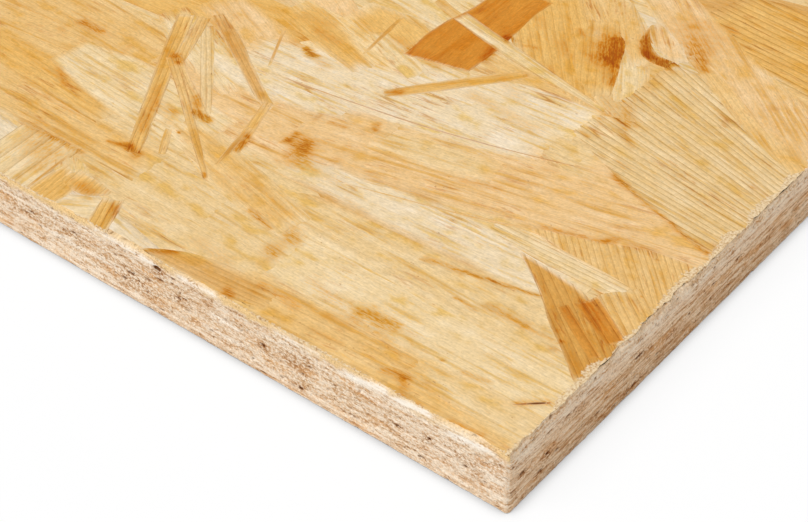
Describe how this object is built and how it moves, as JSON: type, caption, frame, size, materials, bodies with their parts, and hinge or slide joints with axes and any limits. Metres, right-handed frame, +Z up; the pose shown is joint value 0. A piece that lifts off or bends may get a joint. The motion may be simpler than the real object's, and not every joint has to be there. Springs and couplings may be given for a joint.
{
  "type": "osb panel",
  "caption": "Flat rectangular sheet of pressed and glued wood strands with plain square-sawn edges, laid flat, for floor decking, roof and wall sheathing.",
  "frame": {"origin": "centre of the underside, on the surface that the sheet lies on", "axes": "+X along the sheet's length and its face strands, +Y across the width, +Z up through the thickness"},
  "size_m": [2.44, 1.22, 0.018],
  "materials": {
    "strand_board": "pressed softwood strands, pale straw to amber, satin faces and rough sawn edges"
  },
  "bodies": {
    "root": {"osb_sheet": "strand_board"}
  },
  "joints": []
}
